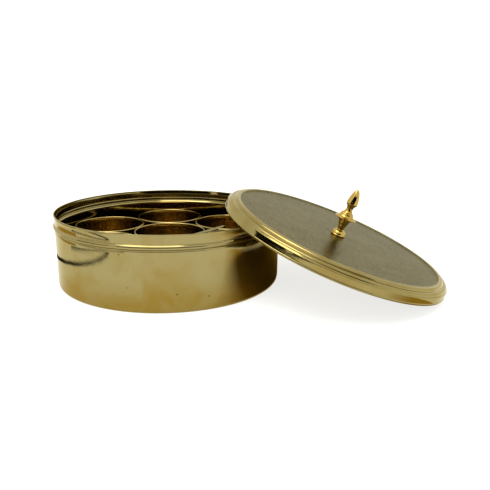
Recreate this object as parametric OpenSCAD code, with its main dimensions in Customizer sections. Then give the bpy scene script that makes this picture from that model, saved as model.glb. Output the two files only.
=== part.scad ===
// Brass masala dabba: a round spice box with seven loose cups and a spoon,
// and its moulded lid with a turned knob. The box stands on z = 0 with its
// axis on Z. The lid is off, leaning on the box's rim with its edge on the
// same floor.

/* [Box] */
// Outer diameter of the box's wall
box_d = 220; // [180:1:270]
// Height of the rim above the floor
box_h = 68.6; // [56:0.1:84]
// Thickness of the box's sheet
wall_t = 1; // [0.8:0.1:1.4]
// Drop from the rim to the middle of the bead
neck_h = 11.2; // [9:0.1:14]
// How far the bead stands out from the wall
bead_out = 1.3; // [1:0.1:1.8]
// How far the neck over the bead is set in from the wall
neck_in = 0.2; // [0:0.1:1]
// How far the rim flares out past the wall
rim_flare = 0.4; // [0.2:0.1:0.8]
// Radius of the wall's bottom corner
foot_r = 2.4; // [2:0.1:3]
// Width of the flat that the wall turns in under the base
foot_w = 2.2; // [1.5:0.1:3]

/* [Cups] */
// Room left over the cups, under the closed lid, for the spoon
headroom = 23; // [18:0.5:28]
// Thickness of a cup's sheet
cup_t = 0.7; // [0.6:0.1:0.8]
// Radius of the roll on a cup's rim
cup_roll_r = 0.75; // [0.7:0.05:0.9]
// How far the roll stands out from the cup's wall
cup_roll_out = 0.6; // [0.5:0.05:0.7]
// Radius of a cup's bottom corner
cup_corner_r = 6; // [5.5:0.1:9]
// Gap between neighbouring cups
cup_gap = 1.4; // [0.8:0.1:4]
// Gap between the outer cups and the box's neck
cup_wall_gap = 0.5; // [0.4:0.1:2]
// Turn of the ring of cups about the box's axis
cup_turn = 7.9; // [0:0.1:59]

/* [Lid] */
// Gap between the box's rim and the inside of the lid's skirt
lid_gap = 0.8; // [0.5:0.1:1.5]
// Thickness of the lid's sheet
lid_t = 1; // [0.8:0.1:1.2]
// Height of the lid's shoulder over its bottom edge
lid_h = 12.8; // [12:0.1:15]
// Depth of the plate below the shoulder
plate_drop = 1.6; // [1.2:0.1:2.4]
// Width of the moulded shoulder
shoulder_w = 10; // [9:0.1:13]
// Radius of the bead round the lid's bottom edge
lid_bead_r = 1.3; // [1.1:0.1:1.6]
// Angle round the lid, from its low end, at which its edge lies on the rim
lid_seat_a = 140.6; // [130:0.1:150]
// Compass direction in which the lid leans away
lid_lean = -8.2; // [-20:0.1:20]
// Gap left where the leaning lid meets the rim
lean_gap = 0.25; // [0.2:0.05:0.6]

/* [Knob] */
// Height of the knob over the plate
knob_h = 47; // [38:0.5:58]
// Radius of the knob's base
knob_base_r = 7; // [6:0.1:9]
// Radius of the knob's sharp collar
knob_collar_r = 10.5; // [8:0.1:13]
// Diameter of the screw that holds the knob
screw_d = 4; // [3:0.1:5]
// Depth of the screw in the knob
screw_depth = 9; // [7:0.5:10]
// Diameter of the screw's head
screw_head_d = 7.6; // [6:0.1:9]
// Height of the screw's head
screw_head_h = 2.2; // [1.8:0.1:3]
// Diameter of the washer under the lid
washer_d = 13; // [10:0.5:18]
// Thickness of the washer
washer_t = 0.8; // [0.6:0.1:1.2]

/* [Spoon] */
// Half width of the spoon's stem
stem_w = 1.9; // [1.6:0.1:2.3]
// Thickness of the spoon's stem
stem_t = 1.8; // [1.6:0.1:2.2]
// Half width of the spoon's bowl
bowl_w = 9; // [7:0.1:11]
// Length of the spoon's bowl
bowl_l = 26; // [22:0.5:32]
// Depth of the spoon's bowl
bowl_depth = 5; // [3.5:0.1:6]
// Half width of the leaf at the handle's end
leaf_w = 4.4; // [3:0.1:5.3]
// Length over which the handle narrows from the leaf to the stem
leaf_l = 34; // [28:0.5:41]
// Thickness of the bowl and the leaf
spoon_t = 1.2; // [1:0.1:1.6]
// Gap between the spoon and the cup, under its bowl and at the rim
spoon_gap = 0.3; // [0.2:0.05:0.6]

/* [Hidden] */
$fn = 96;

BRASS = "#b5a15a";
DARK_BRASS = "#8f7a3c";
MATTE_BRASS = "#8b8468";

// Box: the base is a joggled disc that lies on the wall's turned-in foot.
box_r = box_d / 2;
rim_r = box_r + rim_flare;
bead_z = box_h - neck_h;
base_t = wall_t;
foot_in_r = box_r - foot_r - foot_w;
solder_gap = 0.1;

// Cups: six in a ring round the seventh, all standing on the base, as large
// as the wall leaves room for.
cup_r = (box_r - neck_in - wall_t - cup_wall_gap - cup_gap) / 3;
ring_r = 2 * cup_r + cup_gap;
cup_z = base_t;
rim_z = box_h - headroom;
cup_h = rim_z - cup_z;

// Lid, in its own frame: bottom edge at z = 0, axis on Z.
skirt_in_r = rim_r + lid_gap;
skirt_r = skirt_in_r + lid_t;
lid_r = skirt_r + lid_bead_r * 0.3;
lip_r = skirt_r - shoulder_w;
plate_z = lid_h - plate_drop;
plate_under = plate_z - lid_t;
screw_hole_gap = 0.1;

// Leaning pose: the bead round the lid's edge stands on the floor at its low
// end and lies on the box's rim at lid_seat_a to either side of that. The tilt
// brings the bead to the rim's height there, and lid_cr brings it over the rim.
bead_tube_r = lid_r - lid_bead_r;
rim_mid_r = rim_r - wall_t / 2;
lid_tilt = asin((box_h + lean_gap) / (bead_tube_r * (1 - cos(lid_seat_a))));
lid_cz = bead_tube_r * sin(lid_tilt) + lid_bead_r * (1 - cos(lid_tilt));
lid_cr = sqrt(pow(rim_mid_r, 2) - pow(bead_tube_r * sin(lid_seat_a), 2))
    - bead_tube_r * cos(lid_seat_a) * cos(lid_tilt) - lid_bead_r * sin(lid_tilt);

// ---- outlines ----

// Points of an arc about (cx, cz), both ends included.
function arc(cx, cz, r, a0, a1, n) =
    [for (i = [0:n]) let (a = a0 + (a1 - a0) * i / n) [cx + r * cos(a), cz + r * sin(a)]];

// Points of a curve that leaves a towards b and arrives at c.
function bend(a, b, c, n) =
    [for (i = [0:n]) let (t = i / n) (1 - t) * (1 - t) * a + 2 * t * (1 - t) * b + t * t * c];

// The same line moved t to its left, as the other face of a sheet.
function unit(v) = v / norm(v);
function left_of(v) = [-v[1], v[0]];
function side_dir(p, i) = let (n = len(p) - 1)
    i == 0 ? left_of(unit(p[1] - p[0])) :
    i == n ? left_of(unit(p[n] - p[n - 1])) :
    let (a = left_of(unit(p[i] - p[i - 1])), b = left_of(unit(p[i + 1] - p[i])), m = unit(a + b))
    m / max(m * a, 0.5);
function moved(p, t) = [for (i = [0:len(p) - 1]) p[i] + t * side_dir(p, i)];
function reversed(p) = [for (i = [len(p) - 1:-1:0]) p[i]];
function sheet(p, t) = concat(p, reversed(moved(p, t)));

// ---- box ----

// Wall's outer face, from the foot's inner end to the rim.
bead_arc_r = 2.2;
bead_half = acos((bead_arc_r - bead_out) / bead_arc_r);
bead_rise = bead_arc_r * sin(bead_half);
wall_line = concat(
    [[foot_in_r, 0]],
    arc(box_r - foot_r, foot_r, foot_r, -90, 0, 10),
    arc(box_r + bead_out - bead_arc_r, bead_z, bead_arc_r, -bead_half, bead_half, 12),
    bend([box_r - neck_in, bead_z + bead_rise + 1], [box_r - neck_in, box_h - 4], [rim_r, box_h - 1], 6),
    [[rim_r, box_h]]);

module box_wall() color(BRASS)
    rotate_extrude() polygon(sheet(wall_line, wall_t));

// A flat disc pressed so that its middle is flush with the foot's underside
// and its edge lies on top of the foot.
module box_base() color(DARK_BRASS) {
    joggle_r = foot_in_r - solder_gap;
    edge_r = box_r - foot_r - solder_gap;
    rotate_extrude() polygon([
        [0, 0], [joggle_r, 0], [joggle_r, wall_t], [edge_r, wall_t], [edge_r, wall_t + base_t],
        [joggle_r + 0.2, wall_t + base_t], [joggle_r - base_t, base_t], [0, base_t]]);
}

// ---- cups ----

// A spun cup: flat bottom, round corner, straight wall and a solid-looking
// roll that the wall's two faces run into from below.
cup_body_r = cup_r - cup_roll_out;
cup_line = concat(
    [[0, 0]],
    arc(cup_body_r - cup_corner_r, cup_corner_r, cup_corner_r, -90, 0, 10));
roll_x = cup_r - cup_roll_r;
roll_a0 = -acos((cup_body_r - roll_x) / cup_roll_r);
roll_a1 = 360 - acos((cup_body_r - cup_t - roll_x) / cup_roll_r);

module cup()
    rotate_extrude() polygon(concat(
        cup_line,
        arc(roll_x, cup_h - cup_roll_r, cup_roll_r, roll_a0, roll_a1, 20),
        reversed(moved(cup_line, cup_t))));

// Cup 0 is the middle one; 1 to 6 go round from the right, anticlockwise.
module cup_at(i) color(BRASS)
    rotate([0, 0, cup_turn + 60 * i - 30])
        translate([i == 0 ? 0 : ring_r, 0, cup_z]) cup();

// ---- spoon ----

// The spoon stands in the middle cup: its bowl lies on the cup's floor, its
// stem comes up to a knee, and its flat handle leans out over the rim. It is
// drawn as the ring of cups stands before its turn.
rest_a = -31.9;
hand_a = -4.4;
hand_reach = 24.5;
hand_rise = 7.2;
knee_back = 16;
bowl_a = 205.8;
bowl_wall_gap = 2;
cup_in_r = cup_body_r - cup_t;
bowl_out = cup_in_r - bowl_wall_gap - 0.55 * bowl_l;
hand_run = [hand_reach * cos(hand_a), hand_reach * sin(hand_a), hand_rise];
hand_dir = unit(hand_run);
hand_slope = hand_rise / hand_reach;
side_dip = stem_w * hand_slope * abs(tan(hand_a - rest_a));
rest_p = [cup_r * cos(rest_a), cup_r * sin(rest_a),
    rim_z + (stem_t / 2 + spoon_gap) * sqrt(1 + pow(hand_slope, 2)) + side_dip];
knee_p = rest_p - knee_back * hand_dir;
bowl_p = [bowl_out * cos(bowl_a), bowl_out * sin(bowl_a),
    cup_z + cup_t + spoon_gap + bowl_depth + spoon_t / 2];
bowl_dir = unit([knee_p[0] - bowl_p[0], knee_p[1] - bowl_p[1], 0]);
heel_p = bowl_p + 0.45 * bowl_l * bowl_dir;
stem_dir = unit(knee_p - heel_p);

// Centre line: level along the bowl, a heel, up to the knee, and out.
function bend3(a, b, c, n) =
    [for (i = [0:n]) let (t = i / n) (1 - t) * (1 - t) * a + 2 * t * (1 - t) * b + t * t * c];
function straight(a, b, n) = [for (i = [0:n - 1]) a + (b - a) * i / n];
spoon_tip = bowl_p - 0.55 * bowl_l * bowl_dir;
heel_a = heel_p - 5 * bowl_dir;
hand_p = knee_p + 8 * hand_dir;
spoon_line = concat(
    straight(spoon_tip, heel_a, 18),
    bend3(heel_a, heel_p, heel_p + 9 * stem_dir, 9),
    bend3(knee_p - 9 * stem_dir, knee_p, hand_p, 10),
    [for (i = [1:20]) hand_p + (rest_p + hand_run - hand_p) * i / 20]);

// Distance along the line up to point i.
function run(p, i) = i == 0 ? 0 : run(p, i - 1) + norm(p[i] - p[i - 1]);
spoon_len = run(spoon_line, len(spoon_line) - 1);

// Half width, half thickness and hollow at distance s from the bowl's tip. The
// leaf is widest leaf_tip from the handle's end.
leaf_tip = 6.5;
function lens(u) = u <= 0 || u >= 1 ? 0 : sqrt(max(0, 4 * u * (1 - u)));
function half_w(s) = let (e = spoon_len - s, k = (e - leaf_tip) / leaf_l)
    s < bowl_l ? max(stem_w * s / bowl_l, bowl_w * lens(s / bowl_l)) + 0.3 * (1 - s / bowl_l) :
    e < leaf_tip ? 0.4 + (leaf_w - 0.4) * pow(sin(90 * max(0, e) / leaf_tip), 0.9) :
    k < 1 ? stem_w + (leaf_w - stem_w) * pow(cos(90 * k), 2) : stem_w;
function half_t(s) = let (e = spoon_len - s, f = spoon_t / 2, g = stem_t / 2)
    s < bowl_l ? f :
    s < bowl_l + 8 ? f + (g - f) * (s - bowl_l) / 8 :
    f + (g - f) * min(1, max(0, e) / leaf_l);
function hollow(s) = s < bowl_l ? bowl_depth * pow(lens(s / bowl_l), 1.4) : 0;

// One closed ring of the skin about point i: an ellipse whose middle is sunk
// by the bowl's hollow, so both faces of the bowl go down together.
RING_N = 28;
function ring_at(i) = let (
        n = len(spoon_line) - 1,
        t = unit(spoon_line[min(n, i + 1)] - spoon_line[max(0, i - 1)]),
        side = unit(cross([0, 0, 1], t)), up = cross(t, side),
        s = run(spoon_line, i), w = half_w(s), h = half_t(s), d = hollow(s))
    [for (k = [0:RING_N - 1]) let (a = 360 * k / RING_N, y = cos(a))
        spoon_line[i] + w * y * side + (h * sin(a) - d * (1 - y * y)) * up];

module spoon() color(BRASS) rotate([0, 0, cup_turn]) {
    m = len(spoon_line);
    pts = [for (i = [0:m - 1]) each ring_at(i)];
    faces = concat(
        [[for (k = [0:RING_N - 1]) k]],
        [for (i = [0:m - 2], k = [0:RING_N - 1]) let (a = i * RING_N + k, b = i * RING_N + (k + 1) % RING_N)
            each [[a, a + RING_N, b], [b, a + RING_N, b + RING_N]]],
        [[for (k = [RING_N - 1:-1:0]) (m - 1) * RING_N + k]]);
    polyhedron(pts, faces);
}

// ---- lid ----

// Places a piece that is drawn in the lid's own frame.
module on_lid()
    rotate([0, 0, lid_lean]) translate([lid_cr, 0, lid_cz]) rotate([0, lid_tilt, 0]) children();

// Upper face, from the axis out over the sunken plate, up to the lip round it,
// down two rolls and a narrow step to the skirt. The other face is lid_t below.
step_z = lid_h * 0.57;
lid_line = concat(
    [[0, plate_z], [lip_r - 2.8, plate_z]],
    bend([lip_r - 2, plate_z + 0.1], [lip_r - 1.1, lid_h], [lip_r + 0.2, lid_h], 6),
    [[lip_r + 0.7, lid_h - 0.25]],
    bend([lip_r + 1.2, lid_h - 0.1], [lip_r + 3.6, lid_h + 0.1], [lip_r + 4.2, lid_h - 2.1], 7),
    bend([lip_r + 4.8, lid_h - 2.3], [skirt_r - 1.6, lid_h - 2.2], [skirt_r - 1.3, step_z + 1.1], 8),
    [[skirt_r, step_z + 0.1], [skirt_r, 2 * lid_bead_r + 0.5]]);
lid_bead_a0 = acos((skirt_r - bead_tube_r) / lid_bead_r);
lid_bead_a1 = acos((skirt_r - lid_t - bead_tube_r) / lid_bead_r) - 360;

module lid_shell() on_lid() color(MATTE_BRASS) difference() {
    rotate_extrude() polygon(concat(
        lid_line,
        arc(bead_tube_r, lid_bead_r, lid_bead_r, lid_bead_a0, lid_bead_a1, 24),
        reversed(moved(lid_line, -lid_t))));
    translate([0, 0, plate_under - 1]) cylinder(d = screw_d + 2 * screw_hole_gap, h = lid_t + 2);
}

// ---- knob ----

// Shares of the knob's height at which its turned shapes begin and end.
neck_z = knob_h * 0.13;
cup_base_z = knob_h * 0.24;
collar_z = knob_h * 0.385;
collar_top_z = knob_h * 0.475;
waist_z = knob_h * 0.6;
acorn_z = knob_h * 0.69;
acorn_r = knob_base_r * 0.79;
neck_r = knob_base_r * 0.44;

knob_line = concat(
    [[0, 0], [knob_base_r, 0], [knob_base_r + 0.2, 0.8]],
    bend([knob_base_r - 0.2, 1.4], [knob_base_r - 0.4, neck_z * 0.75], [neck_r, neck_z], 8),
    bend([neck_r + 0.1, neck_z + 0.5], [neck_r + 0.3, cup_base_z - 1], [neck_r + 1.3, cup_base_z], 5),
    bend([neck_r + 1.4, cup_base_z + 0.4], [neck_r + 1.6, collar_z - 1.4], [knob_collar_r, collar_z], 7),
    bend([knob_collar_r, collar_z + 0.35], [neck_r + 3.6, collar_z + 1.2], [neck_r + 3.2, collar_top_z], 6),
    bend([neck_r + 2.8, collar_top_z + 0.7], [neck_r + 0.2, waist_z - 4], [neck_r, waist_z], 7),
    bend([neck_r + 0.2, waist_z + 0.8], [neck_r + 0.6, acorn_z - 1.6], [acorn_r - 0.6, acorn_z - 0.9], 5),
    bend([acorn_r, acorn_z + 0.4], [acorn_r - 0.4, knob_h * 0.86], [1.9, knob_h - 1.2], 10),
    [[1, knob_h - 0.25], [0, knob_h]]);

module knob() on_lid() color(BRASS) translate([0, 0, plate_z]) difference() {
    rotate_extrude() polygon(knob_line);
    translate([0, 0, -1]) cylinder(d = screw_d, h = screw_depth + 1);
}

// Screw, head down, from under the washer up into the knob's tapped hole.
module knob_screw() on_lid() color(DARK_BRASS) {
    seat = plate_under - washer_t;
    difference() {
        union() {
            translate([0, 0, seat]) cylinder(d = screw_d, h = plate_z - seat + screw_depth - 0.5);
            intersection() {
                translate([0, 0, seat - screw_head_h]) cylinder(d = screw_head_d, h = screw_head_h);
                translate([0, 0, seat - screw_head_h + screw_head_d * 0.72]) sphere(screw_head_d * 0.72);
            }
        }
        translate([-screw_head_d, -0.5, seat - screw_head_h - 1]) cube([2 * screw_head_d, 1, 1.9]);
    }
}

module knob_washer() on_lid() color(BRASS) translate([0, 0, plate_under - washer_t])
    difference() {
        cylinder(d = washer_d, h = washer_t);
        translate([0, 0, -1]) cylinder(d = screw_d + 2 * screw_hole_gap, h = washer_t + 2);
    }

box_wall();
box_base();
cup_at(0);  // cup_centre
cup_at(1);  // cup_1
cup_at(2);  // cup_2
cup_at(3);  // cup_3
cup_at(4);  // cup_4
cup_at(5);  // cup_5
cup_at(6);  // cup_6
spoon();
lid_shell();
knob();
knob_screw();
knob_washer();
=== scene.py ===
"""Brass masala dabba: a round spice box with seven loose cups and a spoon, and
its lid with a turned knob, leaning on the box's rim."""

import math

import bpy
import numpy as np
from mathutils import Matrix


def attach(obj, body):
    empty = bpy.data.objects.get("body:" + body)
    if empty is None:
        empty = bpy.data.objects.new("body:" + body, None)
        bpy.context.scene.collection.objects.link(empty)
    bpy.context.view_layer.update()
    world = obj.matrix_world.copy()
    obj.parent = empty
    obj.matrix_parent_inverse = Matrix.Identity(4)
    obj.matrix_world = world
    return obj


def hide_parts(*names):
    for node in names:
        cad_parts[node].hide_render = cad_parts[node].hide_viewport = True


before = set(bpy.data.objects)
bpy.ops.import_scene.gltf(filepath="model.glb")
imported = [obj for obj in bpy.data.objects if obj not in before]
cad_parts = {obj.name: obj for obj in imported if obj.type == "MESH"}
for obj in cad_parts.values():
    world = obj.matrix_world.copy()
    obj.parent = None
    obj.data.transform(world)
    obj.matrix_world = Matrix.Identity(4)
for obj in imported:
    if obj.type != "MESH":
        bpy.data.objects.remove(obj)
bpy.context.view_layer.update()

# ---- Studio ----
# A table of white acrylic lit from below, so that shadows on it stay faint, in a white
# tent with one large softbox overhead. Black felt, brown board and a dark cord stand
# or lie round about, out of view: the polished brass mirrors them. A brown sheet under
# the lid is painted shade: it stands in for the lid's shadow on the table.


def linear(code):
    """The linear value of an sRGB colour written as hex, with alpha 1."""
    c = np.array([int(code[i:i + 2], 16) for i in (1, 3, 5)]) / 255
    c = np.where(c <= 0.04045, c / 12.92, ((c + 0.055) / 1.055) ** 2.4)
    return (*c.tolist(), 1.0)


def node(tree, kind, settings=None, inputs=None, **links):
    """Adds a node. settings are its own properties, inputs sets sockets by name or
    number, and links joins sockets, by name with _ for a space, to other nodes' outputs."""
    n = tree.nodes.new(kind)
    for key, value in (settings or {}).items():
        setattr(n, key, value)
    for key, value in (inputs or {}).items():
        n.inputs[key].default_value = value
    for key, source in links.items():
        key = int(key[1:]) if key[0] == "n" and key[1:].isdigit() else key.replace("_", " ")
        tree.links.new(source, n.inputs[key])
    return n


def surface(name, pieces):
    """Puts a mesh of (points, faces) in the scene, in metres, smoothly shaded."""
    points, faces = pieces
    mesh = bpy.data.meshes.new(name)
    mesh.from_pydata(points.tolist(), [], [f for group in faces for f in group.tolist()])
    mesh.validate()
    mesh.shade_smooth()
    thing = bpy.data.objects.new(name, mesh)
    bpy.context.scene.collection.objects.link(thing)
    return thing


def card(name, corner, along, up):
    """A flat card: the corner, plus 0 to 1 of each of two sides."""
    corner, along, up = (np.array(v, float) for v in (corner, along, up))
    points = np.array([corner, corner + along, corner + along + up, corner + up])
    return surface(name, (points, [np.array([[0, 1, 2, 3]])]))


def plain(name, colour, rough=1.0):
    """A dull, even finish, as paper or black felt has."""
    finish = bpy.data.materials.new(name)
    finish.use_nodes = True
    shader = finish.node_tree.nodes["Principled BSDF"]
    shader.inputs["Base Color"].default_value = linear(colour)
    shader.inputs["Roughness"].default_value = rough
    shader.inputs["Specular IOR Level"].default_value = 0
    return finish


# Opal acrylic sheet, even and matt. Its own light keeps the table white under the lid.
ACRYLIC, GLOW, GLOW_STRENGTH = "#a2a2a0", "#fdfdfa", 0.78
floor = card("acrylic_table", (-15, -15, 0), (30, 0, 0), (0, 30, 0))
acrylic = plain("lit_white_acrylic", ACRYLIC)
glow = acrylic.node_tree.nodes["Principled BSDF"]
glow.inputs["Emission Color"].default_value = linear(GLOW)
glow.inputs["Emission Strength"].default_value = GLOW_STRENGTH
floor.data.materials.append(acrylic)


def mirrored_only(thing, finish):
    """Stages a piece that shows only in what the brass mirrors and casts no shadow."""
    thing.data.materials.append(finish)
    thing.visible_camera = thing.visible_shadow = thing.visible_diffuse = False


felt, board = plain("black_felt", "#0c0b0a"), plain("brown_board", "#b09440")
for name, corner, along, up, finish in (
    ("flag_behind_camera", (-1.7, -1.9, 0.02), (3.4, 0, 0), (0, 0, 0.85), felt),
    ("flag_left", (-1.9, -1.6, 0.02), (0, 1.5, 0), (0, 0, 0.6), felt),
    ("felt_before_table", (-1.7, -1.9, 0.001), (3.4, 0, 0), (0, 1.25, 0), felt),
    ("board_left", (-0.60, -0.07, 0.001), (0.33, 0, 0), (0, 0.25, 0), board),
):
    mirrored_only(card(name, corner, along, up), finish)


def cord(name, route, width):
    """A flat dark cord on the table: the route's points, each with one point half the
    width to either side of it."""
    route = np.array(route, float)
    run = np.gradient(route, axis=0)
    run /= np.linalg.norm(run, axis=1)[:, None]
    side = np.stack([-run[:, 1], run[:, 0]], 1) * width / 2
    flat = np.full((len(route), 1), 0.002)
    points = np.vstack([np.hstack([route + side, flat]), np.hstack([route - side, flat])])
    i, n = np.arange(len(route) - 1), len(route)
    return surface(name, (points, [np.stack([i, i + 1, n + i + 1, n + i], 1)]))


# The box mirrors this cord as a dark loop on its left side and a dark line on its neck.
for name, route, width in (
    ("cord_near", [(-0.150, 0.05), (-0.172, 0), (-0.181, -0.045), (-0.180, -0.09), (-0.176, -0.13),
                   (-0.173, -0.165), (-0.174, -0.195), (-0.183, -0.212), (-0.203, -0.207),
                   (-0.225, -0.17), (-0.24, -0.11), (-0.25, -0.04)], 0.015),
    ("cord_far", [(-0.34, 0.08), (-0.347, -0.064), (-0.323, -0.14), (-0.282, -0.195), (-0.239, -0.237),
                  (-0.205, -0.268), (-0.16, -0.30)], 0.028),
):
    mirrored_only(cord(name, route, width), felt)


def painted_shade_sheet(name, inner_r, span, outer, colour):
    """A sheet of painted shade on the table round part of the box: it runs from an arc of
    radius inner_r, over the span of degrees, out to the straight line between the two
    outer points, and fades in from the table's own white over the first fifth of that span."""
    cuts, height = 24, 0.001
    t = np.linspace(0, 1, cuts + 1)[:, None]
    a = np.radians(span[0] + (span[1] - span[0]) * t)
    inner = np.hstack([inner_r * np.cos(a), inner_r * np.sin(a), 0 * t + height])
    far = np.hstack([np.array(outer[0]) + (np.array(outer[1]) - outer[0]) * t, 0 * t + height])
    i, n = np.arange(cuts), cuts + 1
    thing = surface(name, (np.vstack([inner, far]), [np.stack([i, n + i, n + i + 1, i + 1], 1)]))
    shade = thing.data.attributes.new("shade", "FLOAT", "POINT")
    shade.data.foreach_set("value", np.tile(np.clip(t[:, 0] * 5, 0, 1), 2).astype(np.float32))
    finish = plain(name + "_paint", colour)
    tree = finish.node_tree
    depth = node(tree, "ShaderNodeAttribute", {"attribute_name": "shade"}).outputs["Fac"]
    mix = node(tree, "ShaderNodeMix", {"data_type": "RGBA"}, n0=depth)
    mix.inputs[6].default_value, mix.inputs[7].default_value = linear(ACRYLIC), linear(colour)
    shader = tree.nodes["Principled BSDF"]
    tree.links.new(mix.outputs[2], shader.inputs["Base Color"])
    rest_of = node(tree, "ShaderNodeMath", {"operation": "SUBTRACT"}, {0: 1.0}, n1=depth)
    light = node(tree, "ShaderNodeMath", {"operation": "MULTIPLY"}, {1: GLOW_STRENGTH},
                 n0=rest_of.outputs["Value"])
    shader.inputs["Emission Color"].default_value = linear(GLOW)
    tree.links.new(light.outputs["Value"], shader.inputs["Emission Strength"])
    return thing, finish


# Painted shade: under the lid a brown sheet stands in for the lid's shadow on the lit table. The brass
# mirrors it as a dark zone on the box's right.
mirrored_only(*painted_shade_sheet("lid_shadow_sheet", 0.1115, (-64, 40), ((0.25, -0.19), (0.25, 0.10)), "#b49746"))

world = bpy.data.worlds.new("white_tent")
bpy.context.scene.world = world
world.use_nodes = True
world.node_tree.nodes["Background"].inputs["Color"].default_value = (1, 1, 1, 1)
world.node_tree.nodes["Background"].inputs["Strength"].default_value = 1.15


def softbox(name, place, aim, size, watts):
    """A square area light at place, facing aim."""
    light = bpy.data.lights.new(name, "AREA")
    light.size, light.energy = size, watts
    lamp = bpy.data.objects.new(name, light)
    bpy.context.scene.collection.objects.link(lamp)
    back = np.array(place, float) - np.array(aim, float)
    back /= np.linalg.norm(back)
    side = np.cross((0, 1, 0.01), back)
    side /= np.linalg.norm(side)
    turn = np.eye(4)
    turn[:3, 0], turn[:3, 1], turn[:3, 2], turn[:3, 3] = side, np.cross(back, side), back, place
    lamp.matrix_world = Matrix(turn.tolist())
    return lamp


softbox("softbox_overhead", (-0.25, -0.35, 1.5), (0.05, 0, 0), 1.1, 16)

lens = bpy.data.cameras.new("camera")
lens.lens, lens.sensor_width = 39.31, 36
lens.clip_start, lens.clip_end = 0.01, 60
camera = bpy.data.objects.new("camera", lens)
bpy.context.scene.collection.objects.link(camera)
pitch, roll = -0.2672, 0.0130
ahead = np.array([0, math.cos(pitch), math.sin(pitch)])
level, tall = np.array([1.0, 0, 0]), np.array([0, -math.sin(pitch), math.cos(pitch)])
view = np.eye(4)
view[:3, 0] = level * math.cos(roll) + tall * math.sin(roll)
view[:3, 1] = tall * math.cos(roll) - level * math.sin(roll)
view[:3, 2] = -ahead
view[:3, 3] = (0.07654, -0.52775, 0.17566)
camera.matrix_world = Matrix(view.tolist())
bpy.context.scene.camera = camera
bpy.context.scene.view_settings.view_transform = "Standard"

# ---- Box wall ----
# The side of the box: brass sheet 1 mm thick, spun over a form and polished. A bead
# with a shallow turned line to either side is rolled into it below the neck, and its
# foot turns in under the base.

MM = 0.001
BOX_R, BOX_H, WALL_T = 110, 68.6, 1.0
BEAD_Z, BEAD_OUT, BEAD_R = 57.4, 1.3, 2.2
NECK_R, RIM_R = 109.8, 110.4
FOOT_R, FOOT_IN_R = 2.4, 105.4


def arc(cx, cz, r, a0, a1, n):
    """n + 1 points of the arc about (cx, cz), from a0 to a1 degrees."""
    a = np.radians(np.linspace(a0, a1, n + 1))
    return np.stack([cx + r * np.cos(a), cz + r * np.sin(a)], 1)


def bend(a, b, c, n):
    """n + 1 points of the curve that leaves a towards b and arrives at c:
    (1 - t)^2 a + 2 t (1 - t) b + t^2 c."""
    t = np.linspace(0, 1, n + 1)[:, None]
    a, b, c = (np.array(v, float) for v in (a, b, c))
    return (1 - t) ** 2 * a + 2 * t * (1 - t) * b + t ** 2 * c


def moved(line, t):
    """The line moved t to its left: each point goes along the mitre of the two
    sides that meet there."""
    d = np.diff(line, axis=0)
    d /= np.linalg.norm(d, axis=1)[:, None]
    left = np.stack([-d[:, 1], d[:, 0]], 1)
    a, b = np.vstack([left[:1], left]), np.vstack([left, left[-1:]])
    m = a + b
    m /= np.linalg.norm(m, axis=1)[:, None]
    return line + t * m / np.maximum((m * a).sum(1), 0.5)[:, None]


def eased(line, r, closed):
    """Rounds the corners that turn by more than 14 degrees, each with a short
    curve that starts and ends r before and after it."""
    before, after = np.roll(line, 1, 0) - line, np.roll(line, -1, 0) - line
    lb, la = np.linalg.norm(before, axis=1), np.linalg.norm(after, axis=1)
    cut = np.minimum(r, 0.45 * np.minimum(lb, la))
    a = line + before * (cut / np.maximum(lb, 1e-9))[:, None]
    c = line + after * (cut / np.maximum(la, 1e-9))[:, None]
    cos = (before * after).sum(1) / np.maximum(lb * la, 1e-9)
    corner = cos > -math.cos(math.radians(14))
    if not closed:
        corner[0] = corner[-1] = False
    t = np.linspace(0, 1, 5)[None, :, None]
    curve = (1 - t) ** 2 * a[:, None] + 2 * t * (1 - t) * line[:, None] + t ** 2 * c[:, None]
    curve[~corner] = line[~corner][:, None]
    keep = np.zeros(curve.shape[:2], bool)
    keep[corner] = True
    keep[:, 2] = True
    return curve[keep]


def filled(line, step, closed):
    """The same line with its long sides cut into equal parts of at most step."""
    if closed:
        line = np.vstack([line, line[:1]])
    run = np.linalg.norm(np.diff(line, axis=0), axis=1)
    s = np.concatenate([[0], np.cumsum(run)])
    cuts = np.maximum(1, np.ceil(run / step).astype(int))
    at = np.concatenate([s[i] + run[i] * np.arange(n) / n for i, n in enumerate(cuts)] + [s[-1:]])
    line = np.stack([np.interp(at, s, line[:, 0]), np.interp(at, s, line[:, 1])], 1)
    return line[:-1] if closed else line


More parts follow.
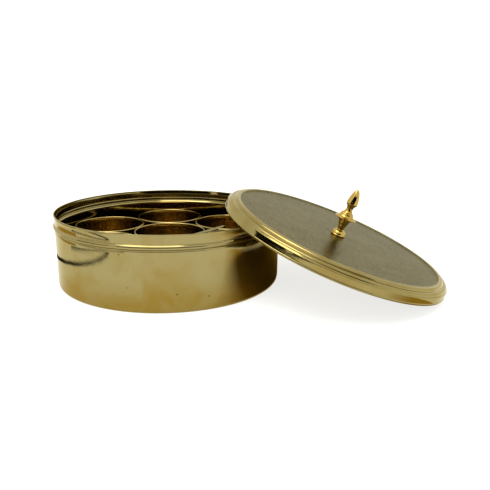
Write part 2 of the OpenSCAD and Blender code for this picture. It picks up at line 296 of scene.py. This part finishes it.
def lathe(line, turns, closed, wave=None):
    """Turns an outline of (radius, height) in mm about Z. Point (i, j) is the outline's
    point i at angle 2 pi j / turns, its radius and height changed by wave(r, z, angle).
    A closed outline gives a ring; an open one starts and ends on the axis, where
    its faces close in a fan. Returns points in mm, faces, and distance along the outline."""
    angle = 2 * np.pi * np.arange(turns) / turns
    r, z = (np.repeat(line[:, k:k + 1], turns, 1) for k in (0, 1))
    if wave:
        dr, dz = wave(r, z, angle[None, :])
        r, z = r + dr, z + dz
    grid = np.stack([r * np.cos(angle), r * np.sin(angle), z], 2)
    along = np.concatenate([[0], np.cumsum(np.linalg.norm(np.diff(line, axis=0), axis=1))])
    along = np.repeat(along[:, None], turns, 1)
    n = len(line)
    if not closed:
        grid, along, n = grid[1:-1], along[1:-1], n - 2
    ids = np.arange(n * turns).reshape(n, turns)
    nxt = np.roll(ids, -1, 1)
    a, b = (ids, np.roll(ids, -1, 0)) if closed else (ids[:-1], ids[1:])
    na, nb = (nxt, np.roll(nxt, -1, 0)) if closed else (nxt[:-1], nxt[1:])
    quads = np.stack([a, na, nb, b], 2).reshape(-1, 4)
    faces, points, along = [quads], grid.reshape(-1, 3), along.reshape(-1)
    if not closed:
        poles = np.array([[0, 0, line[0, 1]], [0, 0, line[-1, 1]]])
        first, last = len(points), len(points) + 1
        points, along = np.vstack([points, poles]), np.append(along, [0, along.max()])
        faces.append(np.stack([np.full(turns, first), nxt[0], ids[0]], 1))
        faces.append(np.stack([np.full(turns, last), ids[-1], nxt[-1]], 1))
    q = points[quads]
    volume = (np.cross(q[:, 1] - q[:, 0], q[:, 2] - q[:, 0]) * q[:, 0]).sum()
    volume += (np.cross(q[:, 2] - q[:, 0], q[:, 3] - q[:, 0]) * q[:, 0]).sum()
    if volume < 0:
        faces = [f[:, ::-1] for f in faces]
    return points, faces, along


def turned(name, made):
    """Puts a lathe's result in the scene, with its distance along the outline, in
    metres, as the attribute that turning marks follow."""
    points, faces, along = made
    thing = surface(name, (points * MM, faces))
    mark = thing.data.attributes.new("along", "FLOAT", "POINT")
    mark.data.foreach_set("value", (along * MM).astype(np.float32))
    return thing


def dented(size, seed, fewest=2, most=9):
    """A wave for lathe: the sheet is out of true by up to size mm, in seven ripples of
    fewest to most waves round, which drift slowly with height."""
    draw = np.random.default_rng(seed)
    counts, phases = draw.integers(fewest, most + 1, 7), draw.uniform(0, 2 * np.pi, 7)
    heights, parts = draw.uniform(0.02, 0.09, 7), draw.uniform(0.4, 1, 7)

    def wave(r, z, angle):
        w = sum(p * np.sin(c * angle + f + h * z) for c, f, h, p in zip(counts, phases, heights, parts))
        return size * w / 4 * np.ones_like(r), 0 * r
    return wave


def brass(name, base, warm, rough, patch_mm=38, warm_share=0.5, line_mm=0.35, line_depth=0.02,
          speck=0.0, painted_shade_below_mm=None):
    """Cast, sheet or bar brass: a metal whose yellow deepens in soft patches with age,
    with fine turning marks that follow the outline."""
    finish = bpy.data.materials.new(name)
    finish.use_nodes = True
    tree = finish.node_tree
    shader = tree.nodes["Principled BSDF"]
    shader.inputs["Metallic"].default_value = 1
    shader.inputs["Specular Tint"].default_value = linear("#f1ebd6")
    place = node(tree, "ShaderNodeTexCoord").outputs["Object"]
    patch = node(tree, "ShaderNodeTexNoise", inputs={
        "Scale": 1000 / patch_mm, "Detail": 4, "Roughness": 0.55, "Distortion": 0.6}, Vector=place)
    share = node(tree, "ShaderNodeMapRange", inputs={
        "From Min": 0.42, "From Max": 0.72, "To Min": 0, "To Max": warm_share},
        Value=patch.outputs["Fac"]).outputs["Result"]
    # Painted shade: below painted_shade_below_mm the colour leans to the darker warm tone, towards the
    # foot, for the shaded floor that the brass mirrors there.
    if painted_shade_below_mm:
        height = node(tree, "ShaderNodeSeparateXYZ", Vector=place).outputs["Z"]
        low_shade = node(tree, "ShaderNodeMapRange", {"interpolation_type": "SMOOTHSTEP"}, {
            "From Min": 0.0, "From Max": painted_shade_below_mm * MM, "To Min": 0.75, "To Max": 0}, Value=height)
        share = node(tree, "ShaderNodeMath", {"operation": "ADD", "use_clamp": True},
                     n0=share, n1=low_shade.outputs["Result"]).outputs["Value"]
    colour = node(tree, "ShaderNodeMix", {"data_type": "RGBA"}, n0=share)
    colour.inputs[6].default_value, colour.inputs[7].default_value = linear(base), linear(warm)
    tint = colour.outputs[2]
    along = node(tree, "ShaderNodeAttribute", {"attribute_name": "along"}).outputs["Fac"]
    mark = node(tree, "ShaderNodeTexNoise", {"noise_dimensions": "1D"}, {
        "Scale": 1000 / line_mm, "Detail": 3, "Roughness": 0.6}, W=along)
    if speck:
        dots = node(tree, "ShaderNodeTexVoronoi", inputs={"Scale": 1000 / 16}, Vector=place)
        pit_shade = node(tree, "ShaderNodeMapRange", inputs={
            "From Min": speck * 0.4, "From Max": speck, "To Min": 0.75, "To Max": 0},
            Value=dots.outputs["Distance"])
        spotted = node(tree, "ShaderNodeMix", {"data_type": "RGBA"}, n0=pit_shade.outputs["Result"], n6=tint)
        spotted.inputs[7].default_value = linear("#2e2008")
        tint = spotted.outputs[2]
    tree.links.new(tint, shader.inputs["Base Color"])
    smear = node(tree, "ShaderNodeTexNoise", inputs={"Scale": 1000 / 14, "Detail": 5}, Vector=place)
    gloss = node(tree, "ShaderNodeMapRange", inputs={
        "From Min": 0.3, "From Max": 0.75, "To Min": rough * 0.75, "To Max": rough * 1.6},
        Value=smear.outputs["Fac"])
    tree.links.new(gloss.outputs["Result"], shader.inputs["Roughness"])
    grain = node(tree, "ShaderNodeBump", inputs={"Strength": 0.35, "Distance": line_depth * MM},
                 Height=mark.outputs["Fac"])
    tree.links.new(grain.outputs["Normal"], shader.inputs["Normal"])
    return finish


bead_half = math.degrees(math.acos((BEAD_R - BEAD_OUT) / BEAD_R))
bead_rise = BEAD_R * math.sin(math.radians(bead_half))
wall_face = np.vstack([
    [[FOOT_IN_R, 0]],
    arc(BOX_R - FOOT_R, FOOT_R, FOOT_R, -90, 0, 12),
    [[BOX_R, BEAD_Z - bead_rise - 1.5], [BOX_R - 0.5, BEAD_Z - bead_rise - 0.7]],
    arc(BOX_R + BEAD_OUT - BEAD_R, BEAD_Z, BEAD_R, -bead_half, bead_half, 22),
    [[BOX_R - 0.4, BEAD_Z + bead_rise + 0.5]],
    bend([NECK_R, BEAD_Z + bead_rise + 1], [NECK_R, BOX_H - 4], [RIM_R, BOX_H - 1], 10),
    [[RIM_R, BOX_H]]])
wall_line = np.vstack([wall_face, moved(wall_face, WALL_T)[::-1]])
wall_line = filled(eased(wall_line, 0.35, True), 3.0, True)
wall = turned("box_wall_spun", lathe(wall_line, 320, True, dented(0.10, 3)))
# Spun, polished and lacquered: a sharp mirror in olive-gold, with patches of deeper
# yellow and a few dark specks. Browner low down is painted shade, for the darker, warmer
# floor that the wall mirrors near its foot.
wall.data.materials.append(brass(
    "spun_polished_brass", "#96895a", "#8a7232", 0.07, patch_mm=30, warm_share=0.6,
    speck=0.06, painted_shade_below_mm=34))
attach(wall, "box")
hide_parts("box_wall")

# ---- Base ----
# The bottom of the box: a disc of the same sheet, pressed down in the middle so
# that it sits flush inside the foot, and soldered to it. Duller than the wall.

BASE_IN_R, BASE_R, BASE_T = 105.3, 107.5, 1.0
base_line = np.array([
    [0, 0], [BASE_IN_R, 0], [BASE_IN_R, BASE_T], [BASE_R, BASE_T], [BASE_R, 2 * BASE_T],
    [BASE_IN_R + 0.2, 2 * BASE_T], [BASE_IN_R - BASE_T, BASE_T], [0, BASE_T]])
base_line = filled(eased(base_line, 0.25, False), 3.5, False)
base = turned("box_base_pressed", lathe(base_line, 240, False))
# Sheet as rolled, not polished: duller and browner than the wall, with coarser rings.
base.data.materials.append(brass(
    "rolled_brass_sheet", "#83764a", "#655426", 0.24, patch_mm=26, warm_share=0.7, line_mm=1.1,
    line_depth=0.05, speck=0.05))
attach(base, "box")
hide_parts("box_base")

# ---- Cups ----
# Seven loose spice cups, alike: spun from 0.7 mm brass sheet, with a flat bottom,
# a round corner, a straight side and a rim rolled outwards over itself.

CUP_R, CUP_H, CUP_T, CUP_Z = 35.633, 44.6, 0.7, 1.0
ROLL_R, ROLL_OUT, CORNER_R = 0.75, 0.6, 6
RING_R, CUP_TURN = 72.667, 7.9

body_r, roll_x = CUP_R - ROLL_OUT, CUP_R - ROLL_R
cup_face = np.vstack([[[0, 0]], arc(body_r - CORNER_R, CORNER_R, CORNER_R, -90, 0, 12)])
roll_from = -math.degrees(math.acos((body_r - roll_x) / ROLL_R))
roll_to = 360 - math.degrees(math.acos((body_r - CUP_T - roll_x) / ROLL_R))
cup_line = filled(np.vstack([
    cup_face, arc(roll_x, CUP_H - ROLL_R, ROLL_R, roll_from, roll_to, 16),
    moved(cup_face, CUP_T)[::-1]]), 3.6, False)
# Spun and lightly polished: yellower than the wall, and warm brown where the sides
# mirror each other. Slight ripples in the sheet give it upright streaks.
cup_brass = brass("spun_cup_brass", "#b29d62", "#94773c", 0.13, patch_mm=22, warm_share=0.6,
                  line_mm=0.5, line_depth=0.03)
for i in range(7):
    points, faces, along = lathe(cup_line, 176, False, dented(0.09, 20 + i, 8, 30))
    a = math.radians(CUP_TURN + 60 * i - 30)
    out = RING_R if i else 0
    points = points + [out * math.cos(a), out * math.sin(a), CUP_Z]
    body = f"cup_{i}" if i else "cup_centre"
    cup = turned(body + "_spun", (points, faces, along))
    cup.data.materials.append(cup_brass)
    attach(cup, body)
    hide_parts(body)

# ---- Spoon ----
# A small cast spoon, filed and tumbled to a soft shine. Its bowl stands in the
# middle cup, and the leaf at the end of its handle has slanting grooves filed in it.

RIM_Z, STEM_W, STEM_T, SPOON_T, SPOON_GAP = 45.6, 1.9, 1.8, 1.2, 0.3
BOWL_W, BOWL_L, BOWL_DEPTH, LEAF_W, LEAF_L, LEAF_TIP = 9, 26, 5, 4.4, 34, 6.5
REST_A, HAND_A, HAND_REACH, HAND_RISE, KNEE_BACK = -31.9, -4.4, 24.5, 7.2, 16
BOWL_A, BOWL_WALL_GAP = 205.8, 2


def polar(r, degrees, z):
    """The point at radius r in the direction degrees, at height z."""
    return np.array([r * math.cos(math.radians(degrees)), r * math.sin(math.radians(degrees)), z])


def straight(a, b, n):
    """n points of the line from a towards b, a included and b left out."""
    return a + (b - a) * (np.arange(n) / n)[:, None]


slope = HAND_RISE / HAND_REACH
side_dip = STEM_W * slope * abs(math.tan(math.radians(HAND_A - REST_A)))
hand_run = polar(HAND_REACH, HAND_A, HAND_RISE)
hand_dir = hand_run / np.linalg.norm(hand_run)
rest = polar(CUP_R, REST_A, RIM_Z + (STEM_T / 2 + SPOON_GAP) * math.hypot(1, slope) + side_dip)
knee = rest - KNEE_BACK * hand_dir
bowl = polar(body_r - CUP_T - BOWL_WALL_GAP - 0.55 * BOWL_L, BOWL_A,
             CUP_Z + CUP_T + SPOON_GAP + BOWL_DEPTH + SPOON_T / 2)
bowl_dir = (knee - bowl) * [1, 1, 0]
bowl_dir /= np.linalg.norm(bowl_dir)
heel = bowl + 0.45 * BOWL_L * bowl_dir
stem_dir = (knee - heel) / np.linalg.norm(knee - heel)
heel_from, heel_to = heel - 5 * bowl_dir, heel + 9 * stem_dir
knee_from, knee_to = knee - 9 * stem_dir, knee + 8 * hand_dir
hand_end = rest + hand_run
path = np.vstack([
    straight(bowl - 0.55 * BOWL_L * bowl_dir, heel_from, 60), bend(heel_from, heel, heel_to, 24)[:-1],
    straight(heel_to, knee_from, 24), bend(knee_from, knee, knee_to, 24)[:-1],
    straight(knee_to, hand_end, 130), hand_end[None]])


def spoon_skin(path, sides):
    """The spoon's skin: at distance s along the path, an ellipse of half width w(s) and
    half thickness h(s), its middle sunk by the bowl's hollow d(s) times 1 - y^2, and
    on the leaf's upper face the grooves, waves that run slantwise over s and y."""
    s = np.concatenate([[0], np.cumsum(np.linalg.norm(np.diff(path, axis=0), axis=1))])
    e = s[-1] - s
    oval = np.sqrt(np.clip(4 * (s / BOWL_L) * (1 - s / BOWL_L), 0, None))
    k = np.clip((e - LEAF_TIP) / LEAF_L, 0, 1)
    w = STEM_W + (LEAF_W - STEM_W) * np.cos(np.pi / 2 * k) ** 2
    nose = np.sin(np.pi / 2 * np.clip(e / LEAF_TIP, 0, 1)) ** 0.9
    w = np.where(e < LEAF_TIP, 0.4 + (LEAF_W - 0.4) * nose, w)
    in_bowl = np.maximum(STEM_W * s / BOWL_L, BOWL_W * oval) + 0.3 * (1 - s / BOWL_L)
    w = np.where(s < BOWL_L, in_bowl, w)
    thin, thick = SPOON_T / 2, STEM_T / 2
    h = thin + (thick - thin) * np.clip(e / LEAF_L, 0, 1)
    h = np.where(s < BOWL_L + 8, thin + (thick - thin) * np.clip((s - BOWL_L) / 8, 0, 1), h)
    d = np.where(s < BOWL_L, BOWL_DEPTH * oval ** 1.4, 0)
    t = np.gradient(path, axis=0)
    t /= np.linalg.norm(t, axis=1)[:, None]
    side = np.cross([0, 0, 1], t)
    side /= np.linalg.norm(side, axis=1)[:, None]
    up = np.cross(t, side)
    a = 2 * np.pi * np.arange(sides) / sides
    y, rise = np.cos(a)[None, :], np.sin(a)[None, :]
    lift = h[:, None] * rise - d[:, None] * (1 - y ** 2)
    cut = 0.5 + 0.5 * np.cos(2 * np.pi * (e[:, None] - 0.9 * w[:, None] * y) / 3.4)
    on_leaf = np.clip((e[:, None] - 3.5) / 1.5, 0, 1) * np.clip((15 - e[:, None]) / 1.5, 0, 1)
    lift -= 0.3 * cut ** 4 * on_leaf * np.clip(rise * 3, 0, 1)
    points = path[:, None] + (w[:, None] * y)[..., None] * side[:, None] + lift[..., None] * up[:, None]
    m, n = points.shape[:2]
    ids = np.arange(m * n).reshape(m, n)
    nxt = np.roll(ids, -1, 1)
    quads = np.stack([ids[:-1], ids[1:], nxt[1:], nxt[:-1]], 2).reshape(-1, 4)
    points = np.vstack([points.reshape(-1, 3), points[0].mean(0), points[-1].mean(0)])
    caps = [np.stack([np.full(n, m * n), ids[0], nxt[0]], 1),
            np.stack([np.full(n, m * n + 1), nxt[-1], ids[-1]], 1)]
    return points, [quads] + caps, np.append(np.repeat(s, n), [0, s[-1]])


points, faces, along = spoon_skin(path, 56)
turn = math.radians(CUP_TURN)
across = np.array([[math.cos(turn), math.sin(turn), 0], [-math.sin(turn), math.cos(turn), 0], [0, 0, 1]])
spoon = turned("spoon_cast", (points @ across, faces, along))
# Cast and tumbled: a soft shine, greyer and duller than the cups.
spoon.data.materials.append(brass(
    "tumbled_cast_brass", "#7f744f", "#665630", 0.2, patch_mm=9, warm_share=0.5, line_mm=0.8,
    line_depth=0.02))
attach(spoon, "spoon")
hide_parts("spoon")

# ---- Lid ----
# One sheet, spun: a flat plate with a fine stippled finish, sunk inside a thin lip,
# then two polished rolls and a step down to the skirt, and a bead round its edge.

LID_GAP, LID_T, LID_H, PLATE_DROP, SHOULDER_W, LID_BEAD_R = 0.8, 1.0, 12.8, 1.6, 10, 1.3
LID_LEAN, LID_TILT, LID_CR, LID_CZ = -8.2, 20.425, 164.328, 38.92
SCREW_HOLE_R = 2.1
skirt_r = RIM_R + LID_GAP + LID_T
lip_r = skirt_r - SHOULDER_W
plate_z, step_z = LID_H - PLATE_DROP, LID_H * 0.57
tube_r = skirt_r + LID_BEAD_R * 0.3 - LID_BEAD_R


def on_lid(points):
    """Points in the lid's own frame, turned by its tilt about Y, set out from the box's
    axis, and turned by its lean about Z."""
    t, a = math.radians(LID_TILT), math.radians(LID_LEAN)
    x = points[:, 0] * math.cos(t) + points[:, 2] * math.sin(t) + LID_CR
    z = points[:, 2] * math.cos(t) - points[:, 0] * math.sin(t) + LID_CZ
    y = points[:, 1]
    return np.stack([x * math.cos(a) - y * math.sin(a), x * math.sin(a) + y * math.cos(a), z], 1)


lid_face = np.vstack([
    [[SCREW_HOLE_R, plate_z], [40, plate_z], [lip_r - 2.8, plate_z + 0.5]],
    bend([lip_r - 2, plate_z + 0.6], [lip_r - 1.1, LID_H], [lip_r + 0.2, LID_H], 12),
    [[lip_r + 0.7, LID_H - 0.25]],
    bend([lip_r + 1.2, LID_H - 0.1], [lip_r + 3.6, LID_H + 0.1], [lip_r + 4.2, LID_H - 2.1], 16),
    bend([lip_r + 4.8, LID_H - 2.3], [skirt_r - 1.6, LID_H - 2.2], [skirt_r - 1.3, step_z + 1.1], 18),
    [[skirt_r, step_z + 0.1], [skirt_r, 2 * LID_BEAD_R + 0.5]]])
bead_from = math.degrees(math.acos((skirt_r - tube_r) / LID_BEAD_R))
bead_to = math.degrees(math.acos((skirt_r - LID_T - tube_r) / LID_BEAD_R)) - 360
lid_line = np.vstack([lid_face, arc(tube_r, LID_BEAD_R, LID_BEAD_R, bead_from, bead_to, 26),
                      moved(lid_face, -LID_T)[::-1]])
lid_line = filled(eased(lid_line, 0.3, True), 3.6, True)


def lid_wave(r, z, angle):
    """The plate's slight dishing and unevenness, 0.1 mm, which fade out before the lip,
    and a skirt out of true by 0.05 mm."""
    inner = np.clip((lip_r - 3 - r) / 20, 0, 1)
    dish = 0.12 * inner * (np.sin(2 * angle + 0.7) * (r / 100) ** 2 + 0.6 * np.sin(3 * angle + r / 25))
    return 0.05 * np.sin(5 * angle + 1) * (r > 3), dish


points, faces, along = lathe(lid_line, 360, True, lid_wave)
lid = turned("lid_spun", (on_lid(points), faces, along))
# Spun sheet polished on the lathe, nearly as sharp a mirror as the wall: lines of light
# run along its lip, rolls and bead.
lid.data.materials.append(brass(
    "turned_polished_brass", "#948652", "#80662a", 0.08, patch_mm=30, warm_share=0.5, line_mm=0.4))


def stippled(name, base, pit_shade, pale, rough, grain_mm):
    """Brass with a fine stipple pressed in all over: small pits that scatter what it
    mirrors, painted darker inside as shade, and a dull grey-olive tone, cloudy from handling."""
    finish = bpy.data.materials.new(name)
    finish.use_nodes = True
    tree = finish.node_tree
    shader = tree.nodes["Principled BSDF"]
    shader.inputs["Metallic"].default_value = 1
    shader.inputs["Specular Tint"].default_value = linear("#d2cdbe")
    place = node(tree, "ShaderNodeTexCoord").outputs["Object"]
    cloud = node(tree, "ShaderNodeTexNoise", inputs={"Scale": 1000 / 30, "Detail": 6, "Roughness": 0.65},
                 Vector=place)
    pits = node(tree, "ShaderNodeTexNoise", inputs={"Scale": 1000 / grain_mm, "Detail": 2}, Vector=place)
    # Painted shade: the pits' low spots, where the bump sinks, take the darker colour pit_shade.
    ramp = node(tree, "ShaderNodeValToRGB", Fac=pits.outputs["Fac"])
    ramp.color_ramp.elements[0].position, ramp.color_ramp.elements[1].position = 0.34, 0.62
    ramp.color_ramp.elements[0].color, ramp.color_ramp.elements[1].color = linear(pit_shade), linear(base)
    share = node(tree, "ShaderNodeMapRange", inputs={
        "From Min": 0.45, "From Max": 0.75, "To Min": 0, "To Max": 0.6}, Value=cloud.outputs["Fac"])
    colour = node(tree, "ShaderNodeMix", {"data_type": "RGBA"}, n0=share.outputs["Result"],
                  n6=ramp.outputs["Color"])
    colour.inputs[7].default_value = linear(pale)
    tree.links.new(colour.outputs[2], shader.inputs["Base Color"])
    shader.inputs["Roughness"].default_value = rough
    bump = node(tree, "ShaderNodeBump", inputs={"Strength": 0.6, "Distance": 0.16 * MM},
                Height=pits.outputs["Fac"])
    tree.links.new(bump.outputs["Normal"], shader.inputs["Normal"])
    return finish


# The stipple breaks up what the plate mirrors into a grey-olive blur, and its pits are
# darkened with painted shade. Its grains are drawn 2 mm wide, coarser than real ones, so
# that they show.
lid.data.materials.append(stippled("stippled_brass_plate", "#75704e", "#4d4730", "#807a5a", 0.27, 2.0))
# The plate's upper faces, inside the lip, take the stipple.
local_r = np.hypot(points[:, 0], points[:, 1])
on_plate = (local_r < lip_r - 0.5) & (points[:, 2] > plate_z - 0.5)
first = np.concatenate([f[:, 0] for f in faces])
second = np.concatenate([f[:, 2] for f in faces])
lid.data.polygons.foreach_set("material_index", (on_plate[first] & on_plate[second]).astype(np.int32))
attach(lid, "lid")
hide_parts("lid_shell")

# ---- Knob ----
# Turned from a brass bar and polished bright: a flared foot, a cup under a sharp
# collar, and an acorn with eight shallow flutes. A hole in its foot takes the screw.

KNOB_H, KNOB_BASE_R, COLLAR_R, SCREW_R, SCREW_DEPTH = 47, 7, 10.5, 2, 9
neck_z, cup_z, collar_z, collar_top = (KNOB_H * k for k in (0.13, 0.24, 0.385, 0.475))
waist_z, acorn_z = KNOB_H * 0.6, KNOB_H * 0.69
acorn_r, neck_r = KNOB_BASE_R * 0.79, KNOB_BASE_R * 0.44
knob_line = np.vstack([
    [[0, SCREW_DEPTH], [SCREW_R, SCREW_DEPTH], [SCREW_R, 0], [KNOB_BASE_R, 0], [KNOB_BASE_R + 0.2, 0.8]],
    bend([KNOB_BASE_R - 0.2, 1.4], [KNOB_BASE_R - 0.4, neck_z * 0.75], [neck_r, neck_z], 16),
    bend([neck_r + 0.1, neck_z + 0.5], [neck_r + 0.3, cup_z - 1], [neck_r + 1.3, cup_z], 10),
    bend([neck_r + 1.4, cup_z + 0.4], [neck_r + 1.6, collar_z - 1.4], [COLLAR_R, collar_z], 16),
    bend([COLLAR_R, collar_z + 0.35], [neck_r + 3.6, collar_z + 1.2], [neck_r + 3.2, collar_top], 12),
    bend([neck_r + 2.8, collar_top + 0.7], [neck_r + 0.2, waist_z - 4], [neck_r, waist_z], 14),
    bend([neck_r + 0.2, waist_z + 0.8], [neck_r + 0.6, acorn_z - 1.6], [acorn_r - 0.6, acorn_z - 0.9], 10),
    bend([acorn_r, acorn_z + 0.4], [acorn_r - 0.4, KNOB_H * 0.86], [1.9, KNOB_H - 1.2], 22),
    [[1, KNOB_H - 0.25], [0, KNOB_H]]])
knob_line = filled(eased(knob_line, 0.2, False), 0.8, False)


def flutes(r, z, angle):
    """Eight flats on the acorn, 5% of its radius deep, which fade out at its tip and
    below its edge."""
    on_acorn = np.clip((z - acorn_z + 0.4) / 1.5, 0, 1) * np.clip((KNOB_H - z) / 4, 0, 1)
    return -0.055 * r * on_acorn * (0.5 + 0.5 * np.cos(8 * angle)), 0 * r


points, faces, along = lathe(knob_line, 144, False, flutes)
knob = turned("knob_turned", (on_lid(points + [0, 0, plate_z]), faces, along))
# Turned and buffed: the strongest gold of all, and curves that mirror everything in
# narrow dark and light bands.
knob.data.materials.append(brass(
    "bright_turned_brass", "#b89a50", "#946f24", 0.08, patch_mm=12, warm_share=0.5, line_mm=0.3))
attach(knob, "lid")
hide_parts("knob")

# ---- Screw and washer ----
# Under the lid a brass washer and a round-headed screw hold the knob. Both are left
# as they come: dull, with a slot across the screw's head.

WASHER_R, WASHER_T = 6.5, 0.8
seat = plate_z - LID_T - WASHER_T
# Plain bar and sheet, never polished: dull and brown.
dull_brass = brass("dull_screw_brass", "#8c7838", "#6a5522", 0.28, patch_mm=6, warm_share=0.6, line_mm=0.3)
washer_line = np.array([[SCREW_HOLE_R, seat], [WASHER_R, seat], [WASHER_R, seat + WASHER_T],
                        [SCREW_HOLE_R, seat + WASHER_T]])
washer_line = filled(eased(washer_line, 0.15, True), 0.8, True)
points, faces, along = lathe(washer_line, 96, True)
washer = turned("knob_washer_cut", (on_lid(points), faces, along))
washer.data.materials.append(dull_brass)
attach(washer, "lid")
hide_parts("knob_washer")

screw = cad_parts["knob_screw"]
screw.data.materials.clear()
screw.data.materials.append(dull_brass)
